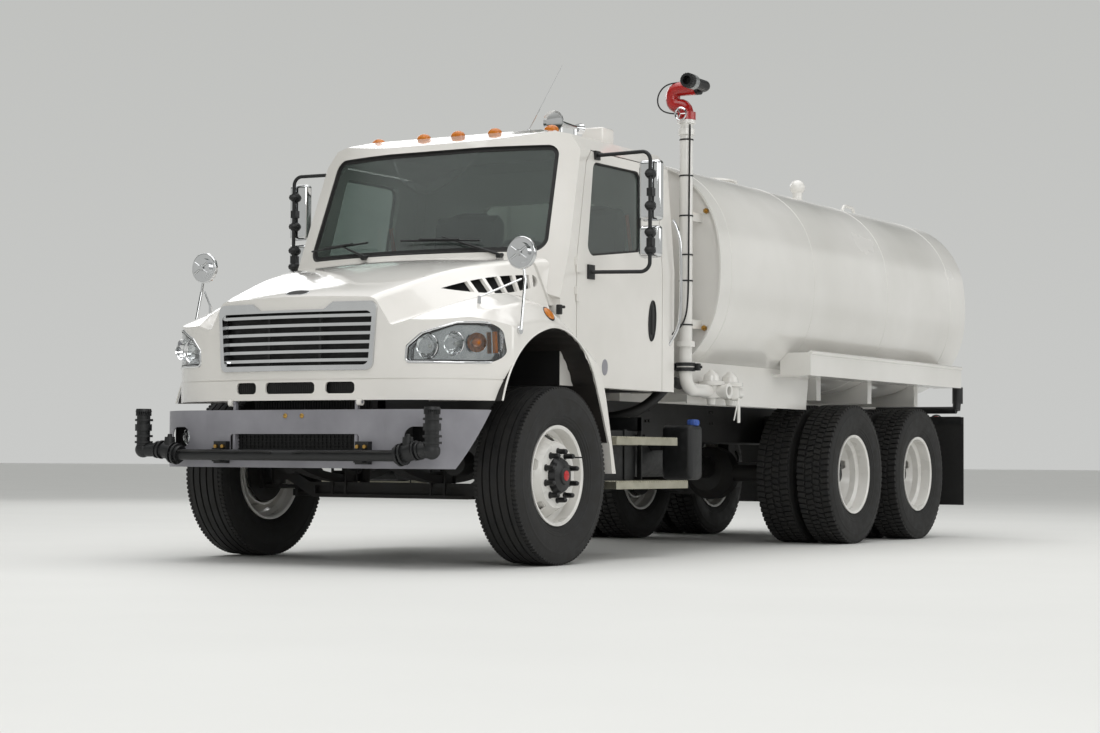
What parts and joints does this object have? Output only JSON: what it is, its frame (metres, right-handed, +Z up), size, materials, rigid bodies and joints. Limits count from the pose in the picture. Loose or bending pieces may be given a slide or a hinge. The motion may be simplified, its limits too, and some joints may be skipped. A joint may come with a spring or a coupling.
{
  "type": "tanker truck",
  "caption": "Conventional-cab tandem-axle water tanker truck with a tilting hood, opening doors, steered front wheels, spray heads and a roof-height water monitor.",
  "frame": {"origin": "on the ground under the middle of the truck's outline", "axes": "+Z up, -Y to the front of the truck, +X to its left side"},
  "size_m": [2.87, 7.9599, 3.1703],
  "materials": {
    "white_paint": "gloss",
    "grey_paint": "satin",
    "black_paint": "satin",
    "red_paint": "gloss",
    "chrome": "polished",
    "bare_aluminium": "brushed",
    "cast_black": "satin",
    "grey_cast": "satin",
    "tyre": "matt",
    "black_rubber": "matt",
    "tinted_glass": "clear",
    "lamp_lens": "gloss",
    "dark_plastic": "matt",
    "grey_fabric": "matt"
  },
  "bodies": {
    "chassis": {"frame_rails": "black_paint", "crossmembers": "black_paint", "front_axle": "cast_black", "front_springs": "cast_black", "rear_axles": "cast_black", "rear_suspension": "cast_black", "engine": "grey_cast", "radiator": "black_paint", "driveline": "grey_cast", "front_bumper": "grey_paint", "front_spray_bar": "black_paint", "cab_shell": "white_paint", "cab_glass": "tinted_glass", "dashboard": "dark_plastic", "seats": "grey_fabric", "steps": "bare_aluminium", "side_tanks": "bare_aluminium", "tank": "white_paint", "tank_saddles": "white_paint", "side_trays": "white_paint", "side_pipework": "white_paint", "rear_spray_bar": "white_paint", "rear_beam": "black_paint", "mud_flaps": "black_rubber", "rear_ladder": "white_paint", "top_fittings": "white_paint", "roof_fittings": "chrome"},
    "hood": {"hood_shell": "white_paint", "grille": "chrome", "headlamps": "lamp_lens", "fender_mirrors": "chrome"},
    "steering_wheel": {"steering_wheel": "dark_plastic"},
    "manhole_lid": {"manhole_lid": "white_paint"},
    "monitor_body": {"monitor_body": "red_paint"},
    "monitor_nozzle": {"monitor_nozzle": "black_paint"},
    "tie_rod": {"tie_rod": "cast_black"},
    "knuckle_left": {"knuckle_left": "cast_black"},
    "door_left": {"door_left": "white_paint", "door_glass_left": "tinted_glass", "door_mirror_left": "chrome"},
    "front_wheel_left": {"front_tyre_left": "tyre", "front_wheel_left": "white_paint"},
    "rear_wheels_1_left": {"rear_tyres_1_left": "tyre", "rear_wheels_1_left": "white_paint"},
    "rear_wheels_2_left": {"rear_tyres_2_left": "tyre", "rear_wheels_2_left": "white_paint"},
    "knuckle_right": {"knuckle_right": "cast_black"},
    "door_right": {"door_right": "white_paint", "door_glass_right": "tinted_glass", "door_mirror_right": "chrome"},
    "front_wheel_right": {"front_tyre_right": "tyre", "front_wheel_right": "white_paint"},
    "rear_wheels_1_right": {"rear_tyres_1_right": "tyre", "rear_wheels_1_right": "white_paint"},
    "rear_wheels_2_right": {"rear_tyres_2_right": "tyre", "rear_wheels_2_right": "white_paint"}
  },
  "joints": [
    {"name": "hood_tilt", "type": "hinge", "parent": "chassis", "child": "hood", "pos_m": [0, -3.81, 0.945], "axis": [1, 0, 0], "range_deg": [0, 60]},
    {"name": "steering_wheel_turn", "type": "hinge", "parent": "chassis", "child": "steering_wheel", "pos_m": [0.48, -1.95, 1.885], "axis": [0, 0.5736, 0.8192], "range_deg": [-700, 700]},
    {"name": "manhole_lid_hinge", "type": "hinge", "parent": "chassis", "child": "manhole_lid", "pos_m": [0, 1.705, 2.807], "axis": [-1, 0, 0], "range_deg": [0, 110]},
    {"name": "monitor_swivel", "type": "hinge", "parent": "chassis", "child": "monitor_body", "pos_m": [1.052, -0.921, 2.95], "axis": [0, 0, 1], "range_deg": [-170, 170]},
    {"name": "monitor_elevation", "type": "hinge", "parent": "monitor_body", "child": "monitor_nozzle", "pos_m": [1.052, -0.921, 3.1203], "axis": [-1, 0, 0], "range_deg": [-15, 80]},
    {"name": "tie_rod_ball", "type": "hinge", "parent": "knuckle_left", "child": "tie_rod", "pos_m": [0.886, -2.62, 0.4], "axis": [0, 0, 1], "range_deg": [-35, 35]},
    {"name": "steer_left", "type": "hinge", "parent": "chassis", "child": "knuckle_left", "pos_m": [0.886, -2.81, 0.53], "axis": [0, 0, 1], "range_deg": [-35, 35]},
    {"name": "front_wheel_left_spin", "type": "hinge", "parent": "knuckle_left", "child": "front_wheel_left", "pos_m": [1.068, -2.81, 0.53], "axis": [1, 0, 0], "continuous": true},
    {"name": "door_left_hinge", "type": "hinge", "parent": "chassis", "child": "door_left", "pos_m": [1.038, -2.344, 1.6], "axis": [0, 0, -1], "range_deg": [0, 70]},
    {"name": "rear_wheels_1_left_spin", "type": "hinge", "parent": "chassis", "child": "rear_wheels_1_left", "pos_m": [0.9195, 1.586, 0.527], "axis": [1, 0, 0], "continuous": true},
    {"name": "rear_wheels_2_left_spin", "type": "hinge", "parent": "chassis", "child": "rear_wheels_2_left", "pos_m": [0.9195, 2.894, 0.527], "axis": [1, 0, 0], "continuous": true},
    {"name": "steer_right", "type": "hinge", "parent": "chassis", "child": "knuckle_right", "pos_m": [-0.886, -2.81, 0.53], "axis": [0, 0, 1], "range_deg": [-35, 35]},
    {"name": "front_wheel_right_spin", "type": "hinge", "parent": "knuckle_right", "child": "front_wheel_right", "pos_m": [-1.068, -2.81, 0.53], "axis": [1, 0, 0], "continuous": true},
    {"name": "door_right_hinge", "type": "hinge", "parent": "chassis", "child": "door_right", "pos_m": [-1.038, -2.344, 1.6], "axis": [0, 0, 1], "range_deg": [0, 70]},
    {"name": "rear_wheels_1_right_spin", "type": "hinge", "parent": "chassis", "child": "rear_wheels_1_right", "pos_m": [-0.9195, 1.586, 0.527], "axis": [1, 0, 0], "continuous": true},
    {"name": "rear_wheels_2_right_spin", "type": "hinge", "parent": "chassis", "child": "rear_wheels_2_right", "pos_m": [-0.9195, 2.894, 0.527], "axis": [1, 0, 0], "continuous": true}
  ],
  "couplings": [
    {"joint": "steer_right", "follows": "steer_left", "ratio": 1},
    {"joint": "tie_rod_ball", "follows": "steer_left", "ratio": -1},
    {"joint": "steering_wheel_turn", "follows": "steer_left", "ratio": 20}
  ]
}
